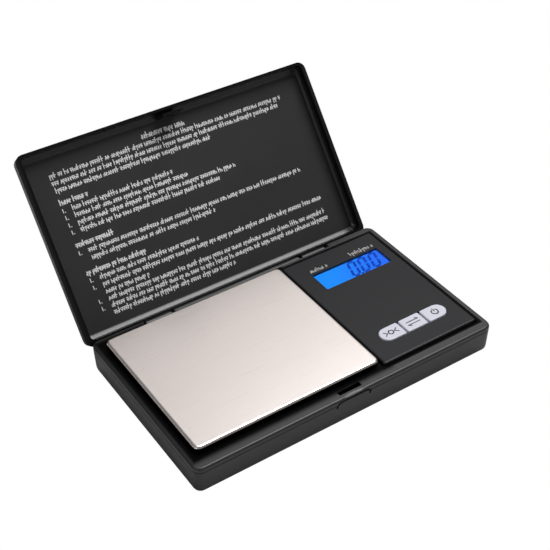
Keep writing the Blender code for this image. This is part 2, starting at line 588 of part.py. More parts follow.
def power():
    """Two cells in series, their contacts and the door under them."""
    x0, x1, y0, y1 = BAY
    jacket = paint("cell_jacket", (0.03, 0.10, 0.30), 0.35)
    body, nub, nub_r = CELL_LENGTH - 1.0, 1.0, 1.9
    left_plate, right_plate = x0 + 0.2, x1 - 0.6
    front = left_plate + 0.4 + GAP
    shape = [(nub_r, 0.0), (nub_r, nub), (CELL_R, nub + 0.2), (CELL_R, nub + body)]
    turned("battery_front", [(r, front + d) for r, d in shape], (0.0, FRONT_CELL_Y, CELL_Z), jacket, "X")
    rear = right_plate - GAP
    shape = [(r, rear - d) for r, d in shape[::-1]]
    turned("battery_rear", shape, (0.0, REAR_CELL_Y, CELL_Z), jacket, "X")
    cell_gap = right_plate - (front + CELL_LENGTH)
    coil = cell_gap - 2 * GAP - 0.5
    link = (left_plate, left_plate + 0.4, FRONT_CELL_Y - 4.0, REAR_CELL_Y + 4.0)
    block("series_link", link, 3.0, 9.4, nickel())
    for name, y in (("negative_contact", FRONT_CELL_Y), ("positive_contact", REAR_CELL_Y)):
        block(name, (right_plate, right_plate + 0.4, y - 4.0, y + 4.0), 3.0, 9.4, nickel())
    start = right_plate - GAP - 0.25
    wire("negative_spring", list(helix(start, FRONT_CELL_Y, CELL_Z, -coil, 3.4, 1.7, 3)), 0.25, nickel())
    start = left_plate + 0.4 + GAP + 0.25
    wire("series_spring", list(helix(start, REAR_CELL_Y, CELL_Z, coil, 3.4, 1.7, 3)), 0.25, nickel())
    for name, y, colour in (("black", FRONT_CELL_Y, (0.01,) * 3), ("red", REAR_CELL_Y, (0.6, 0.02, 0.02))):
        lane = -14.0 if name == "black" else -12.0
        route = [(x1 + 0.1, y, 9.0), (x1 + 3.0, y + 0.5, 9.0), (6.0, (y + lane) / 2, 8.6), (12.0, lane, 7.6)]
        route += [(17.0, lane, 7.4), (22.0, lane, 7.3)]
        points = smooth_route([Vector(point) for point in route], 13)
        wire(f"battery_wire_{name}", points, 0.35, paint(f"wire_{name}", colour, 0.45))


def battery_door():
    hinge = (DOOR_HINGE_X, (BAY[2] + BAY[3]) / 2, DOOR_HINGE_Z)
    plate = box_of(BAY, -GAP)
    door = block("battery_door", plate, 0.0, DOOR_THICK, black_plastic(), 0.8, hinge)
    for i, (front, rear) in enumerate(TONGUES):
        arm = (BAY[0] - 2.0, BAY[0] + 3.0, front, rear)
        join(door, block(f"door_tongue_{i}", arm, FLOOR + GAP, FLOOR + GAP + 0.7))
        root = (BAY[0] + 0.7, BAY[0] + 2.8, front + 0.1, rear - 0.1)
        join(door, block(f"door_tongue_root_{i}", root, DOOR_THICK - 0.4, FLOOR + GAP + 0.4))


def fixings():
    rubber = paint("foot_rubber", (0.02, 0.02, 0.02), 0.8)
    for name, x, y in corners():
        profile = [(FOOT_R - 0.5, -FOOT_DROP), (FOOT_R, -FOOT_DROP + 0.4), (FOOT_R, 0.3)]
        turned(f"foot_{name}", profile, (x, y, 0.0), rubber)
        profile = [(1.9, 0.75), (1.9, 1.9), (0.8, 1.9), (0.8, 9.0)]
        turned(f"case_screw_{name}", profile, (x, y, 0.0), screw_steel(), sides=12)
    for side, sign in (("left", -1), ("right", 1)):
        ends = sorted((sign * (BARREL_END - 6.8), sign * (KNUCKLE_END - 0.9)))
        profile = [(PIN_R, ends[0]), (PIN_R, ends[1])]
        turned(f"hinge_pin_{side}", profile, (0.0, HINGE_Y, HINGE_Z), screw_steel(), "X", sides=12)
    turned("latch_catch", [(CATCH_R, -6.6), (CATCH_R, 6.6)], (0.0, CATCH_Y, CATCH_Z), nickel(), "X", sides=8)


def lid():
    """Modelled closed, about the hinge axis, and turned open by its parent empty."""
    origin = (0.0, HINGE_Y, HINGE_Z)
    axis = bpy.data.objects.new("lid_hinge_axis", None)
    bpy.context.scene.collection.objects.link(axis)
    outline = case_box()
    rings = [ring(outline, LID_RIM, CASE_CORNER)]
    rings += fillet(outline, LID_TOP, LID_EDGE, CASE_CORNER, LID_LEAN)
    cover = loft("lid", rings, black_plastic(), origin)
    cover.parent = axis
    floor = LID_TOP - LID_SKIN
    hollow = [ring(LID_MOUTH, LID_RIM - 1.0, 1.9), ring(LID_MOUTH, LID_RIM + 0.8, 1.9)]
    for share, drop in LID_ROUND:
        part_way = [inner + (mouth - inner) * share for inner, mouth in zip(LID_INSIDE, LID_MOUTH)]
        hollow.append(ring(part_way, floor - drop, 1.5 + 0.4 * share))
    combine(cover, loft("lid_hollow", hollow, origin=origin))
    hook = [
        (HOOK_Y + 0.4, HOOK_TIP),
        (HOOK_Y + 0.4, LID_RIM + GAP),
        (HOOK_Y + 0.6, LID_RIM + 2 * GAP),
        (HOOK_Y + 0.6, floor + 0.5),
        (HOOK_Y - 0.6, floor + 0.5),
        (HOOK_Y - 0.6, LID_RIM + 2 * GAP),
        (HOOK_Y - 0.3, LID_RIM + GAP),
        (HOOK_Y - 0.3, HOOK_TIP + 0.9),
        (HOOK_Y - 0.45, HOOK_TIP + 0.5),
        (HOOK_Y - 0.3, HOOK_TIP),
    ]
    join(cover, outline_along_x("lid_hook", hook, -HOOK_HALF, HOOK_HALF, None, origin))
    for side, sign in (("left", -1), ("right", 1)):
        ends = sorted((sign * KNUCKLE_START, sign * KNUCKLE_END))
        profile = [(BARREL_R, ends[0]), (BARREL_R, ends[1])]
        join(cover, turned(f"knuckle_{side}", profile, origin, None, "X", origin))
        arm = (ends[0] + 0.01, ends[1] - 0.01, HINGE_Y - BARREL_R + 0.05, HALF_D - 0.02)
        join(cover, block(f"knuckle_arm_{side}", arm, HINGE_Z - 0.1, LID_RIM + 1.2, origin=origin))
        bore = sorted((sign * (KNUCKLE_START - 1.0), sign * (KNUCKLE_END - 0.5)))
        profile = [(PIN_R + GAP, bore[0]), (PIN_R + GAP, bore[1])]
        combine(cover, turned(f"knuckle_bore_{side}", profile, origin, None, "X", origin))
    for piece in bpy.data.objects:
        if piece.parent == axis:
            piece.location = (0.0, 0.0, 0.0)
    axis.location = Vector(origin) * MM
    axis.rotation_euler = (math.radians(-LID_OPEN), 0.0, 0.0)


def build():
    for old in list(bpy.data.objects):
        bpy.data.objects.remove(old, do_unlink=True)
    bottom_shell()
    top_shell()
    control_panel()
    display()
    board()
    keys()
    weighing_tray()
    load_cell()
    power()
    battery_door()
    fixings()
    lid()


build()
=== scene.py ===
# Looks of the flip-lid pocket gram scale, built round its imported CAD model. Frame coordinates are in
# metres; the layouts of print and digits are in millimetres and are scaled by MM.

import json
import math
import random

import bmesh
import bpy
from mathutils import Matrix, Vector


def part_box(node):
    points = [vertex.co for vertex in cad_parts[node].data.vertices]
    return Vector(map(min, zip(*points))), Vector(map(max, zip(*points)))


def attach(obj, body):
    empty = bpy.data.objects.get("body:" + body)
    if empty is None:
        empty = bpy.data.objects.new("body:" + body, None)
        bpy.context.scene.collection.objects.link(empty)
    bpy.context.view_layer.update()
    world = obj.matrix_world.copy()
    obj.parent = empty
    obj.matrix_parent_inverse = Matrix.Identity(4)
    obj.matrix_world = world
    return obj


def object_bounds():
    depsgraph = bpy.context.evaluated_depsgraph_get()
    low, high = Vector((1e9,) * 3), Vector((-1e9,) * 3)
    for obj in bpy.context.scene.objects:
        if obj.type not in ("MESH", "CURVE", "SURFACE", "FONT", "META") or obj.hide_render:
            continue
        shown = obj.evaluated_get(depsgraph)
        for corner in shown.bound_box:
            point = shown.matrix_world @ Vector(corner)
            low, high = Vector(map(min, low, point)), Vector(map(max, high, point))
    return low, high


MM = 0.001
ALONG_X, ALONG_Y = (1.0, 0.0, 0.0), (0.0, 1.0, 0.0)
UPWARDS, DOWNWARDS = (0.0, 0.0, 1.0), (0.0, 0.0, -1.0)
WHITE = (1.0, 1.0, 1.0, 1.0)
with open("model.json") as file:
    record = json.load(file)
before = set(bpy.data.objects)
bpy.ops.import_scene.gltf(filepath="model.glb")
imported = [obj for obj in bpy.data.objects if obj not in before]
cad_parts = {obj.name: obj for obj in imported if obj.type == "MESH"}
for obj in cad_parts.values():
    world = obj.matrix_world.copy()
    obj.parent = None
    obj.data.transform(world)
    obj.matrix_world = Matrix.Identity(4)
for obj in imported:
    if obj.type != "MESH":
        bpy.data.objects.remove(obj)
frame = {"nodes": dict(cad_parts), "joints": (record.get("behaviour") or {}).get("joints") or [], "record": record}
cad_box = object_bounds()
nodes = frame["nodes"]
hinge = next(joint for joint in frame["joints"] if joint["name"] == "lid_hinge")

# ---------------------------------------------------------------- camera, light and floor

CAMERA_RIGHT = Vector((0.82931, -0.55875, -0.00567))
CAMERA_UP = Vector((0.35396, 0.51746, 0.77907))
CAMERA_BACK = Vector((-0.43237, -0.64810, 0.62691))
CAMERA_PLACE = Vector((-0.186314, -0.267489, 0.302593))
CAMERA_LENS, CAMERA_SENSOR, CAMERA_NEAR = 76.58, 36.0, 0.01
WORLD_LIGHT, FLOOR_SHADE, FLOOR_REACH, FLOOR_DROP = 0.20, 0.70, 3.0, 0.00002

# Softboxes: name, place, target, width and height in metres, surface brightness
SOFTBOXES = (
    ("overhead", (0.50, 0.12, 1.20), (0.0, 0.02, 0.0), (0.8, 0.6), 9.0),
    ("behind", (0.75, 1.05, 1.0), (0.0, 0.0, 0.0), (1.0, 0.8), 0.55),
    ("left", (-1.1, 0.05, 0.55), (0.0, 0.0, 0.0), (0.9, 0.5), 1.7),
)


def add_camera():
    data = bpy.data.cameras.new("camera")
    data.sensor_width = CAMERA_SENSOR
    data.lens = CAMERA_LENS
    data.clip_start = CAMERA_NEAR
    camera = bpy.data.objects.new("camera", data)
    turn = Matrix((CAMERA_RIGHT, CAMERA_UP, CAMERA_BACK)).transposed().to_4x4()
    camera.matrix_world = Matrix.Translation(CAMERA_PLACE) @ turn
    bpy.context.scene.collection.objects.link(camera)
    bpy.context.scene.camera = camera


def add_softbox(name, place, target, size, radiance):
    """A rectangular studio light of the given surface brightness."""
    data = bpy.data.lights.new(name, "AREA")
    data.shape = "RECTANGLE"
    data.size, data.size_y = size
    data.energy = radiance * math.pi * size[0] * size[1]
    light = bpy.data.objects.new(name, data)
    light.location = place
    light.rotation_euler = (Vector(place) - Vector(target)).to_track_quat("Z", "Y").to_euler()
    bpy.context.scene.collection.objects.link(light)


def shown_to_camera(tree, seen, lit):
    """Mixes two shaders: one for what is seen directly, and one that lights the object."""
    path = tree.nodes.new("ShaderNodeLightPath")
    mix = tree.nodes.new("ShaderNodeMixShader")
    tree.links.new(path.outputs["Is Camera Ray"], mix.inputs["Fac"])
    tree.links.new(lit, mix.inputs[1])
    tree.links.new(seen, mix.inputs[2])
    return mix.outputs[0]


def add_world():
    world = bpy.data.worlds.new("studio")
    bpy.context.scene.world = world
    world.use_nodes = True
    tree = world.node_tree
    out = tree.nodes["World Output"]
    lit = tree.nodes["Background"]
    lit.inputs["Color"].default_value = WHITE
    lit.inputs["Strength"].default_value = WORLD_LIGHT
    seen = tree.nodes.new("ShaderNodeBackground")
    seen.inputs["Color"].default_value = WHITE
    seen.inputs["Strength"].default_value = 1.0
    tree.links.new(shown_to_camera(tree, seen.outputs[0], lit.outputs[0]), out.inputs["Surface"])


def add_floor():
    bm = bmesh.new()
    bmesh.ops.create_grid(bm, x_segments=1, y_segments=1, size=FLOOR_REACH)
    mesh = bpy.data.meshes.new("floor")
    bm.to_mesh(mesh)
    bm.free()
    floor = bpy.data.objects.new("floor", mesh)
    floor.location.z = cad_box[0][2] - FLOOR_DROP
    bpy.context.scene.collection.objects.link(floor)
    material = bpy.data.materials.new("studio_floor")
    material.use_nodes = True
    tree = material.node_tree
    tree.nodes.remove(tree.nodes["Principled BSDF"])
    out = tree.nodes["Material Output"]
    seen = tree.nodes.new("ShaderNodeEmission")
    seen.inputs["Color"].default_value = WHITE
    seen.inputs["Strength"].default_value = 1.0
    lit = tree.nodes.new("ShaderNodeBsdfDiffuse")
    lit.inputs["Color"].default_value = (FLOOR_SHADE, FLOOR_SHADE, FLOOR_SHADE, 1.0)
    tree.links.new(shown_to_camera(tree, seen.outputs[0], lit.outputs[0]), out.inputs["Surface"])
    mesh.materials.append(material)


def add_studio():
    scene = bpy.context.scene
    scene.view_settings.view_transform = "Standard"
    scene.view_settings.look = "None"
    add_world()
    add_floor()
    for softbox in SOFTBOXES:
        add_softbox(*softbox)


# ---------------------------------------------------------------- materials

# Sockets of the Mix node that share their names between data types: the two inputs and the output
MIX_COLOUR_A, MIX_COLOUR_B, MIX_COLOUR_OUT = 6, 7, 2
MIX_FLOAT_A, MIX_FLOAT_B, MIX_FLOAT_OUT = 2, 3, 0
NOISE_LOW, NOISE_HIGH = 0.3, 0.7  # the part of a noise texture's range that most of it lies in
LIGHTLESS = (0.002, 0.002, 0.002)


class Look:
    """A Principled material and the nodes that vary its colour, roughness and surface."""

    def __init__(self, name, colour, roughness, metallic=0.0, specular=0.5):
        self.material = bpy.data.materials.new(name)
        self.material.use_nodes = True
        self.tree = self.material.node_tree
        self.shader = self.tree.nodes["Principled BSDF"]
        self.shader.inputs["Base Color"].default_value = (*colour, 1.0)
        self.shader.inputs["Roughness"].default_value = roughness
        self.shader.inputs["Metallic"].default_value = metallic
        self.shader.inputs["Specular IOR Level"].default_value = specular
        self.place = self.node("ShaderNodeTexCoord").outputs["Object"]
        self.colour = None
        self.roughness = None
        self.normal = None

    def node(self, kind, **settings):
        made = self.tree.nodes.new(kind)
        for key, value in settings.items():
            setattr(made, key, value)
        return made

    def link(self, a, b):
        self.tree.links.new(a, b)

    def maths(self, operation, a, b=0.0):
        made = self.node("ShaderNodeMath", operation=operation)
        for slot, value in zip(made.inputs, (a, b)):
            if isinstance(value, (int, float)):
                slot.default_value = value
            else:
                self.link(value, slot)
        return made.outputs[0]

    def blend(self, a, b, share):
        """Two values added together, with the given share of the second."""
        return self.maths("ADD", self.maths("MULTIPLY", a, 1.0 - share), self.maths("MULTIPLY", b, share))

    def along(self, direction, offset=0.0):
        """Distance in metres along a direction of the piece's own space."""
        dot = self.node("ShaderNodeVectorMath", operation="DOT_PRODUCT")
        self.link(self.place, dot.inputs[0])
        dot.inputs[1].default_value = direction
        return self.maths("SUBTRACT", dot.outputs["Value"], offset)

    def beyond(self, low, high):
        """Distance in metres outside a rectangle of the piece's x and y, negative inside it."""
        sides = []
        for axis, least, most in zip((ALONG_X, ALONG_Y), low, high):
            away = self.maths("ABSOLUTE", self.along(axis, (least + most) / 2))
            sides.append(self.maths("SUBTRACT", away, (most - least) / 2))
        return self.maths("MAXIMUM", *sides)

    def ramp(self, value, low, high):
        """0 at low and 1 at high, eased between."""
        made = self.node("ShaderNodeMapRange", interpolation_type="SMOOTHSTEP")
        self.link(value, made.inputs["Value"])
        made.inputs["From Min"].default_value = low
        made.inputs["From Max"].default_value = high
        return made.outputs["Result"]

    def noise(self, scale, detail=2.0, stretch=(1.0, 1.0, 1.0), roughness=0.5):
        mapping = self.node("ShaderNodeMapping")
        self.link(self.place, mapping.inputs["Vector"])
        mapping.inputs["Scale"].default_value = stretch
        made = self.node("ShaderNodeTexNoise")
        self.link(mapping.outputs[0], made.inputs["Vector"])
        made.inputs["Scale"].default_value = scale
        made.inputs["Detail"].default_value = detail
        made.inputs["Roughness"].default_value = roughness
        return made.outputs["Fac"]

    def tint(self, factor, a, b):
        """Colour a where the factor is 0 and colour b where it is 1."""
        made = self.node("ShaderNodeMix", data_type="RGBA")
        self.link(factor, made.inputs["Factor"])
        for slot, value in ((made.inputs[MIX_COLOUR_A], a), (made.inputs[MIX_COLOUR_B], b)):
            if isinstance(value, tuple):
                slot.default_value = (*value, 1.0)
            else:
                self.link(value, slot)
        return made.outputs[MIX_COLOUR_OUT]

    def vary_colour(self, factor, a, b):
        self.colour = self.tint(factor, a, b)
        self.link(self.colour, self.shader.inputs["Base Color"])
        return self

    def paint_shade(self, factor):
        """Paints shade: takes the surface to black, as a metal with no colour, where the factor is 0."""
        self.vary_colour(factor, LIGHTLESS, self.colour)
        metallic = self.shader.inputs["Metallic"]
        if metallic.default_value < 1.0:
            self.link(self.maths("SUBTRACT", 1.0, factor), metallic)
        return self

    def vary_roughness(self, factor, low, high):
        made = self.node("ShaderNodeMapRange")
        self.link(factor, made.inputs["Value"])
        made.inputs["From Min"].default_value = NOISE_LOW
        made.inputs["From Max"].default_value = NOISE_HIGH
        made.inputs["To Min"].default_value = low
        made.inputs["To Max"].default_value = high
        self.roughness = made.outputs["Result"]
        self.link(self.roughness, self.shader.inputs["Roughness"])
        return self

    def polish(self, factor, roughness):
        """Brings the roughness to one value where the factor is 1."""
        made = self.node("ShaderNodeMix", data_type="FLOAT")
        self.link(factor, made.inputs["Factor"])
        self.link(self.roughness, made.inputs[MIX_FLOAT_A])
        made.inputs[MIX_FLOAT_B].default_value = roughness
        self.link(made.outputs[MIX_FLOAT_OUT], self.shader.inputs["Roughness"])
        return self

    def bump(self, height, depth):
        """Surface relief of the given depth in metres, added to any relief there already."""
        made = self.node("ShaderNodeBump")
        made.inputs["Strength"].default_value = 1.0
        made.inputs["Distance"].default_value = depth
        self.link(height, made.inputs["Height"])
        if self.normal:
            self.link(self.normal, made.inputs["Normal"])
        self.normal = made.outputs["Normal"]
        self.link(self.normal, self.shader.inputs["Normal"])
        return self


def edge_shine(look, top, roughness):
    """A smoother finish on the rounded edge just below a top face at the given height."""
    depth = look.along(DOWNWARDS, -top)
    below_face = look.ramp(depth, 0.03 * MM, 0.12 * MM)
    above_wall = look.ramp(depth, 1.3 * MM, 0.9 * MM)
    return look.polish(look.maths("MULTIPLY", below_face, above_wall), roughness)


def scaled(colour, share):
    return tuple(channel * share for channel in colour)


def moulded(name, colour, roughness, specular=0.5, grain=0.5, depth=0.004, spread=0.12):
    """Moulded plastic with a fine spark-eroded texture; grain and depth are in millimetres."""
    look = Look(name, colour, roughness, 0.0, specular)
    clouds = look.noise(60.0, 3.0)
    fine = look.noise(1.0 / (grain * MM), 2.0)
    look.vary_colour(clouds, scaled(colour, 1.0 - spread), scaled(colour, 1.0 + spread))
    look.vary_roughness(look.blend(clouds, fine, 0.4), roughness - 0.05, roughness + 0.06)
    look.bump(fine, depth * MM)
    return look


def brushed(name, colour, roughness, stretch=(0.15, 40.0, 40.0), depth=0.0003, spread=0.03):
    """Metal with fine lines along the axis whose stretch is least; depth is in millimetres."""
    look = Look(name, colour, roughness, 1.0)
    lines = look.noise(220.0, 4.0, stretch, 0.65)
    clouds = look.noise(35.0, 2.0)
    shade = look.blend(lines, clouds, 0.5)
    look.vary_colour(shade, scaled(colour, 1.0 - spread), scaled(colour, 1.0 + spread))
    look.vary_roughness(lines, roughness - 0.03, roughness + 0.04)
    look.bump(lines, depth * MM)
    return look


def plated(name, colour, roughness):
    """Plated metal with faint mottling."""
    look = Look(name, colour, roughness, 1.0)
    mottle = look.noise(900.0, 3.0)
    look.vary_colour(mottle, scaled(colour, 0.88), scaled(colour, 1.08))
    look.vary_roughness(mottle, roughness - 0.06, roughness + 0.10)
    look.bump(mottle, 0.002 * MM)
    return look


def soft(name, colour, roughness, scale=1400.0):
    """Rubber, silicone or wire sleeve."""
    look = Look(name, colour, roughness, 0.0, 0.35)
    grain = look.noise(scale, 3.0)
    look.vary_colour(grain, scaled(colour, 0.85), scaled(colour, 1.12))
    look.vary_roughness(grain, roughness - 0.06, roughness + 0.06)
    look.bump(grain, 0.006 * MM)
    return look


CASE_COLOUR = (0.0170, 0.0170, 0.0175)
# The lid rim's colour is painted shade, near black.
LID_COLOUR, LID_RIM_SHADE = (0.0200, 0.0200, 0.0205), (0.004, 0.004, 0.004)
LID_FLOOR = 17.3  # height of the lid's inner face above the case's underside, with the lid closed
LID_OPENING = Matrix.Rotation(math.radians(-hinge["range_deg"][1]), 3, "X")
LID_AXIS = Vector(hinge["pos_m"])


def lid_point(x, y, z):
    """A point given in millimetres with the lid closed, moved to where it is with the lid open."""
    return LID_AXIS + LID_OPENING @ (Vector((x, y, z)) * MM - LID_AXIS)


def lid_plastic():
    """The case's plastic, smoother on the rim than on the textured floor of the lid, with painted shade darkening
    the rim.
    """
    look = moulded("lid_plastic", LID_COLOUR, 0.50, 0.5, 0.45, 0.004)
    outwards = LID_OPENING @ Vector(DOWNWARDS)
    height = look.along(outwards, outwards.dot(lid_point(0.0, 0.0, LID_FLOOR)))
    within_walls = look.ramp(look.maths("ABSOLUTE", look.along(ALONG_X)), 64.2 * MM, 63.4 * MM)
    off_floor = look.ramp(height, 0.05 * MM, 0.4 * MM)
    look.polish(look.maths("MULTIPLY", off_floor, within_walls), 0.27)
    # Painted shade: the rim, from 2.2 mm above the lid's floor, is darkened to near black and made partly metallic
    # so it reflects little.
    rim_shade = look.ramp(height, 2.2 * MM, 3.4 * MM)
    look.vary_colour(rim_shade, look.colour, LID_RIM_SHADE)
    look.link(look.maths("MULTIPLY", rim_shade, 0.45), look.shader.inputs["Metallic"])
    return look


def deck_plastic():
    """The case's plastic, with painted shade taking it to black close round the tray and round the panel."""
    look = moulded("deck_plastic", CASE_COLOUR, 0.42, 0.5)
    # Painted shade: the deck goes black next to the tray, fading out by 4.6 mm from it, and in a thin band round
    # the panel.
    shade = look.ramp(look.beyond(*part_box("weighing_tray")), 1.7 * MM, 4.6 * MM)
    panel_shade = look.ramp(look.beyond(*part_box("control_panel")), 0.1 * MM, 0.6 * MM)
    look.paint_shade(look.maths("MINIMUM", shade, panel_shade))
    edge_shine(look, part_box("top_shell")[1].z, 0.37)
    return look


def tray_steel():
    """Brushed steel, with painted shade blackening the skirt below the fold."""
    look = brushed("brushed_steel", (0.80, 0.729, 0.697), 0.30)
    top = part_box("weighing_tray")[1].z
    # Painted shade: the steel goes black from 0.5 to 0.75 mm below the tray's top face downwards, over the skirt.
    look.paint_shade(look.ramp(look.along(UPWARDS, top), -0.75 * MM, -0.5 * MM))
    return edge_shine(look, top, 0.22)


def display_look():
    """A backlit pane, brightest at the corner near its lamp."""
    look = Look("backlit_pane", (0.0, 0.005, 0.02), 0.25, 0.0, 0.1)
    low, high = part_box("lcd_lens")
    lean = 0.4  # how far the brightness also falls off towards the front
    across = look.ramp(look.along((1.0, -lean, 0.0)), low.x - lean * low.y, high.x)
    glow = look.tint(across, (0.004, 0.28, 0.98), (0.016, 0.135, 0.92))
    ripple = look.noise(500.0, 2.0)
    glow = look.tint(look.maths("MULTIPLY", ripple, 0.18), glow, (0.004, 0.10, 0.80))
    look.link(glow, look.shader.inputs["Emission Color"])
    look.shader.inputs["Emission Strength"].default_value = 1.0
    return look


def lens_look():
    look = Look("clear_lens", (0.92, 0.96, 1.0), 0.04)
    look.shader.inputs["Transmission Weight"].default_value = 1.0
    look.shader.inputs["IOR"].default_value = 1.08
    look.bump(look.noise(90.0, 1.0), 0.003 * MM)
    return look


def board_look():
    look = Look("solder_resist", (0.02, 0.16, 0.07), 0.35)
    tracks = look.node("ShaderNodeTexBrick")
    look.link(look.place, tracks.inputs["Vector"])
    tracks.inputs["Scale"].default_value = 260.0
    tracks.inputs["Mortar Size"].default_value = 0.06
    tracks.inputs["Color1"].default_value = (0.016, 0.13, 0.055, 1.0)
    tracks.inputs["Color2"].default_value = (0.020, 0.15, 0.065, 1.0)
    tracks.inputs["Mortar"].default_value = (0.035, 0.24, 0.10, 1.0)
    look.link(tracks.outputs["Color"], look.shader.inputs["Base Color"])
    look.bump(tracks.outputs["Fac"], 0.02 * MM)
    return look


def cell_look():
    """A plain printed sleeve with a lighter band towards one end."""
    look = moulded("cell_sleeve", (0.03, 0.10, 0.30), 0.3, 0.5, 0.8, 0.002)
    band = look.ramp(look.along(ALONG_X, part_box("battery_front")[0].x), 12.0 * MM, 12.3 * MM)
    look.vary_colour(band, (0.55, 0.55, 0.56), look.colour)
    look.shader.inputs["Metallic"].default_value = 0.4
    return look


def give_looks():
    """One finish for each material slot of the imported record, and a special one for a few nodes."""
    fascia = moulded("fascia_plastic", (0.0100, 0.0100, 0.0120), 0.46, 0.25)
    made = {
        "case": moulded("case_plastic", CASE_COLOUR, 0.42, 0.5),
        "fascia": edge_shine(fascia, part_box("control_panel")[1].z, 0.26),
        "key": moulded("key_plastic", (0.66, 0.66, 0.75), 0.38, 0.5, 0.3, 0.0015, 0.02),
        "tray": tray_steel(),
        "inner_plastic": moulded("inner_plastic", (0.02, 0.02, 0.021), 0.5),
        "lens": lens_look(),
        "display": display_look(),
        "diffuser": moulded("diffuser", (0.8, 0.85, 0.9), 0.5, 0.5, 0.3),
        "zebra": brushed("zebra_rubber", (0.5, 0.25, 0.35), 0.7, (40.0, 1.0, 1.0), 0.004, 0.4),
        "board": board_look(),
        "epoxy": soft("epoxy", (0.012, 0.012, 0.012), 0.25),
        "switch": moulded("switch_plastic", (0.02, 0.02, 0.02), 0.4),
        "beam": brushed("milled_aluminium", (0.80, 0.81, 0.82), 0.35, (1.0, 12.0, 12.0), 0.003),
        "silicone": soft("silicone", (0.85, 0.85, 0.83), 0.55),
        "screw": plated("dark_zinc", (0.35, 0.35, 0.36), 0.32),
        "nickel": plated("nickel_plate", (0.70, 0.70, 0.68), 0.25),
        "wire_red": soft("wire_red", (0.60, 0.02, 0.02), 0.45),
        "wire_black": soft("wire_black", (0.012, 0.012, 0.012), 0.45),
        "wire_green": soft("wire_green", (0.02, 0.35, 0.05), 0.45),
        "wire_white": soft("wire_white", (0.80, 0.80, 0.78), 0.45),
        "cell": cell_look(),
        "foot": soft("foot_rubber", (0.02, 0.02, 0.02), 0.75, 700.0),
    }
    pin = plated("pin_steel", (0.06, 0.06, 0.065), 0.45)
    special = {
        "lid": lid_plastic(),
        "top_shell": deck_plastic(),
        "hinge_pin_left": pin,
        "hinge_pin_right": pin,
    }
    for row in frame["record"]["subparts"]:
        look = special.get(row["node"], made[row["material_slot"]])
        node = nodes[row["node"]]
        node.data.materials.clear()
        node.data.materials.append(look.material)


# ---------------------------------------------------------------- printed marks and the display's digits


def prisms(name, shapes, place, low, high, material, body):
    """Thin closed prisms from flat outlines (lists of (u, v) in millimetres), as one piece on a body."""
    bm = bmesh.new()
    for outline in shapes:
        bottom = [bm.verts.new(place(u, v, low)) for u, v in outline]
        top = [bm.verts.new(place(u, v, high)) for u, v in outline]
        bm.faces.new(bottom[::-1])
        bm.faces.new(top)
        for i in range(len(outline)):
            j = (i + 1) % len(outline)
            bm.faces.new((bottom[i], bottom[j], top[j], top[i]))
    bmesh.ops.recalc_face_normals(bm, faces=bm.faces)
    mesh = bpy.data.meshes.new(name)
    bm.to_mesh(mesh)
    bm.free()
    made = bpy.data.objects.new(name, mesh)
    bpy.context.scene.collection.objects.link(made)
    mesh.materials.append(material)
    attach(made, body)
    return made


def stroke(a, b, width):
    """The outline of a straight stroke between two points."""
    a, b = Vector(a), Vector(b)
    along = (b - a).normalized() * width / 2
    side = Vector((-along.y, along.x))
    return [a - along - side, b + along - side, b + along + side, a - along + side]


# Abstract marks, each a few strokes in a cell 1 high: they fill lines as print does, and spell nothing.
MARKS = (
    (((0.05, 0.0), (0.05, 1.0)), ((0.05, 0.5), (0.55, 0.5)), ((0.55, 0.5), (0.55, 0.0))),
    (((0.0, 0.95), (0.5, 0.95)), ((0.0, 0.45), (0.5, 0.45)), ((0.25, 0.0), (0.25, 0.95))),
    (((0.05, 0.1), (0.5, 0.1)), ((0.05, 0.55), (0.5, 0.55)), ((0.5, 0.1), (0.5, 0.95))),
    (((0.1, 0.0), (0.1, 1.5)), ((0.1, 0.7), (0.5, 0.7))),
    (((0.05, 0.95), (0.55, 0.95)), ((0.55, 0.95), (0.3, 0.05)), ((0.3, 0.05), (0.05, 0.5))),
    (((0.05, 0.0), (0.3, 0.95)), ((0.3, 0.95), (0.55, 0.5)), ((0.1, 0.3), (0.5, 0.3))),
    (((0.1, -0.4), (0.1, 0.9)), ((0.1, 0.9), (0.5, 0.9)), ((0.5, 0.9), (0.5, 0.4))),
    (((0.25, 0.0), (0.25, 0.95)), ((0.0, 0.25), (0.5, 0.7))),
)


MARK_PITCH, WORD_GAP = 0.72, 0.75  # in mark heights, and in pitches
SHORTEST_WORD, LONGEST_WORD = 2, 9
PRINT_RISE = 0.03  # how far print stands above and below the face it is on, in millimetres


def line_of_marks(draw, left, right, middle, height, weight):
    """One line of word-like groups of marks from left to right; v is measured upwards."""
    shapes = []
    pitch = MARK_PITCH * height
    u = left
    while u < right - pitch:
        for _ in range(min(draw.randint(SHORTEST_WORD, LONGEST_WORD), int((right - u) / pitch))):
            for a, b in draw.choice(MARKS):
                start = (u + a[0] * height, middle + (a[1] - 0.5) * height)
                end = (u + b[0] * height, middle + (b[1] - 0.5) * height)
                shapes.append(stroke(start, end, weight))
            u += pitch
        u += pitch * WORD_GAP
    return shapes


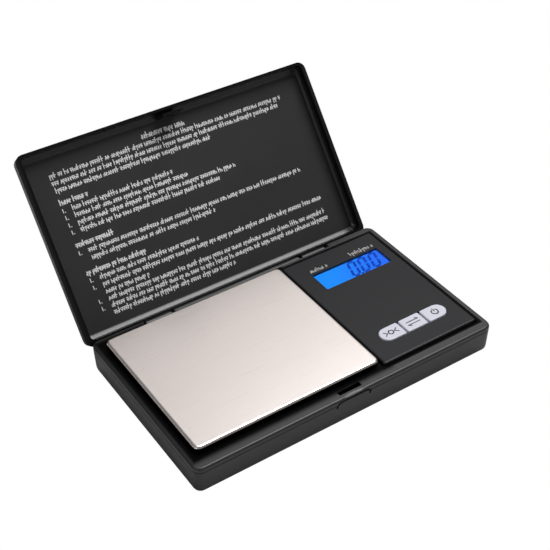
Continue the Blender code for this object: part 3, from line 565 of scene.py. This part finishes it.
# Print in the lid, as (left, right, y with the lid closed) in millimetres: a title, three headings and
# the lines of text, then the (x, y) places of the numbers in front of some lines
LID_TITLE = (-12.6, 7.2, -30.2)
LID_HEADINGS = ((-53.3, -41.0, -16.6), (-53.3, -37.2, 0.5), (-53.5, -27.8, 11.7))
LID_LINES = (
    (-53.3, 52.0, -27.2), (-53.3, 50.0, -24.3), (-53.0, 16.2, -21.4),
    (-49.3, -4.8, -13.5), (-49.3, 2.0, -10.6), (-49.2, 21.8, -7.6), (-49.2, 14.2, -4.7),
    (-49.3, 49.2, 3.6), (-49.0, 6.4, 6.6),
    (-49.1, -4.9, 14.7), (-48.9, 54.0, 17.7), (-48.9, -29.6, 20.7),
    (-48.8, 53.0, 23.5), (-48.7, 54.2, 26.4), (-48.7, 6.6, 29.2),
)
LID_NUMBERS = (
    (-53.1, -13.5), (-53.0, -10.6), (-52.9, -7.6), (-52.8, -4.7), (-53.2, 3.6),
    (-53.0, 14.7), (-52.9, 17.7), (-52.8, 23.5), (-52.7, 26.4),
)
PRINT_HEIGHT, PRINT_WEIGHT = 1.32, 0.33
TITLE_HEIGHT, BOLD_WEIGHT = PRINT_HEIGHT * 1.1, PRINT_WEIGHT * 1.3

# Labels by two of the keys, as (left, right, y) in millimetres
PANEL_LABELS = ((25.8, 34.6, 25.3), (45.4, 57.2, 25.5))
LABEL_HEIGHT, LABEL_WEIGHT = 1.5, 0.27


def printed(name, colour):
    return moulded(name, colour, 0.55, 0.3, 0.25, 0.001, 0.10).material


def lid_print():
    """The instructions printed in the lid; v runs away from the hinge, against y."""
    draw = random.Random(11)
    left, right, y = LID_TITLE
    shapes = line_of_marks(draw, left, right, -y, TITLE_HEIGHT, BOLD_WEIGHT)
    for left, right, y in LID_HEADINGS:
        shapes += line_of_marks(draw, left, right, -y, PRINT_HEIGHT, BOLD_WEIGHT)
    for left, right, y in LID_LINES:
        shapes += line_of_marks(draw, left, right, -y, PRINT_HEIGHT, PRINT_WEIGHT)
    for x, y in LID_NUMBERS:
        shapes.append(stroke((x, -y - 0.6), (x, -y + 0.75), PRINT_WEIGHT))
        shapes.append(stroke((x + 0.75, -y - 0.6), (x + 0.8, -y - 0.6), PRINT_WEIGHT))

    def on_lid(u, v, h):
        return lid_point(u, -v, LID_FLOOR - h)

    ink = printed("lid_ink", (0.90, 0.89, 0.90))
    prisms("lid_print", shapes, on_lid, -PRINT_RISE, PRINT_RISE, ink, "lid")


def flat_on(z):
    """Places print on a level face at height z in millimetres."""
    return lambda u, v, h: Vector((u, v, z + h)) * MM


def panel_print():
    draw = random.Random(5)
    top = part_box("control_panel")[1].z / MM
    shapes = []
    for left, right, y in PANEL_LABELS:
        shapes += line_of_marks(draw, left, right, y, LABEL_HEIGHT, LABEL_WEIGHT)
    ink = printed("panel_ink", (0.62, 0.60, 0.58))
    prisms("panel_print", shapes, flat_on(top), -PRINT_RISE, PRINT_RISE, ink, "base")


def segment(a, b, width):
    """A display segment: a stroke with pointed ends."""
    a, b = Vector(a), Vector(b)
    along = (b - a).normalized() * width / 2
    side = Vector((-along.y, along.x))
    return [a, a + along - side, b - along - side, b, b - along + side, a + along + side]


# Digits in millimetres, with the slant as a ratio; DIGIT_BASE is the y of their front edge
DIGIT_WIDTH, DIGIT_HEIGHT, DIGIT_SLANT = 2.9, 8.0, 0.27
DIGIT_LINE, DIGIT_BASE, DIGIT_GAP = 1.2, 14.4, 0.12
DIGIT_LEFTS = (39.6, 44.6, 49.9)
POINT_AFTER, POINT_SIZE, POINT_LINE = 0.9, 0.3, 0.7
DIGIT_LOW, DIGIT_HIGH = 0.01, 0.05  # heights of a digit's two faces above the display


def display_digits():
    """Noughts with a decimal point after the first, as a scale shows when it is empty."""
    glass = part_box("lcd_glass")[1].z / MM
    shapes = []
    w, h, gap = DIGIT_WIDTH, DIGIT_HEIGHT, DIGIT_GAP
    for left in DIGIT_LEFTS:
        for a, b in (
            ((gap, 0.0), (w - gap, 0.0)), ((gap, h), (w - gap, h)),
            ((0.0, gap), (0.0, h / 2 - gap)), ((0.0, h / 2 + gap), (0.0, h - gap)),
            ((w, gap), (w, h / 2 - gap)), ((w, h / 2 + gap), (w, h - gap)),
        ):
            outline = segment(a, b, DIGIT_LINE)
            shapes.append([(left + u + DIGIT_SLANT * v, DIGIT_BASE + v) for u, v in outline])
    point, level = DIGIT_LEFTS[0] + w + POINT_AFTER, DIGIT_BASE - 0.1
    shapes.append(stroke((point, level), (point + POINT_SIZE, level), POINT_LINE))
    look = Look("display_ink", (0.0, 0.002, 0.02), 0.3, 0.0, 0.05)
    glow = look.tint(look.noise(1500.0, 1.0), (0.0, 0.046, 0.44), (0.0, 0.060, 0.52))
    look.link(glow, look.shader.inputs["Emission Color"])
    look.shader.inputs["Emission Strength"].default_value = 1.0
    prisms("display_digits", shapes, flat_on(glass), DIGIT_LOW, DIGIT_HIGH, look.material, "base")


LEGEND_LINE, RING_STEPS = 0.42, 16


def ring_strokes(u, v, radius, width, start=0.0, end=360.0):
    """An arc of short strokes, with its ends in degrees."""
    points = []
    for n in range(RING_STEPS + 1):
        angle = math.radians(start + (end - start) * n / RING_STEPS)
        points.append((u + radius * math.cos(angle), v + radius * math.sin(angle)))
    return [stroke(a, b, width) for a, b in zip(points, points[1:])]


def tare_sign(u, v):
    """A ring between two arrowheads that point at it."""
    shapes = ring_strokes(u, v, 1.0, LEGEND_LINE)
    for side in (-1, 1):
        tip = (u + side * 1.7, v)
        for rise in (1.0, -1.0):
            shapes.append(stroke((u + side * 2.9, v + rise), tip, LEGEND_LINE))
    return shapes


def mode_sign(u, v):
    """Two arrows, one above the other, that point opposite ways."""
    shapes = []
    for side in (-1, 1):
        level, tip = v + side * 0.75, u + side * 2.7
        shapes.append(stroke((u - side * 2.7, level), (tip, level), LEGEND_LINE))
        shapes.append(stroke((tip, level), (tip - side * 0.9, level + side * 0.75), LEGEND_LINE))
    return shapes


def power_sign(u, v):
    """A broken ring with a bar in the break."""
    shapes = ring_strokes(u, v - 0.1, 1.35, LEGEND_LINE, 120.0, 420.0)
    shapes.append(stroke((u, v + 0.2), (u, v + 1.7), LEGEND_LINE))
    return shapes


def key_legends():
    """Plain signs for zeroing, changing the unit and power."""
    ink = printed("legend_ink", (0.07, 0.07, 0.085))
    for body, sign in (("tare", tare_sign), ("mode", mode_sign), ("power", power_sign)):
        low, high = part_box(f"key_{body}")
        shapes = sign((low.x + high.x) / 2 / MM, (low.y + high.y) / 2 / MM)
        place = flat_on(high.z / MM)
        prisms(f"legend_{body}", shapes, place, -PRINT_RISE, PRINT_RISE, ink, f"{body}_key")


add_camera()
add_studio()
give_looks()
lid_print()
panel_print()
display_digits()
key_legends()
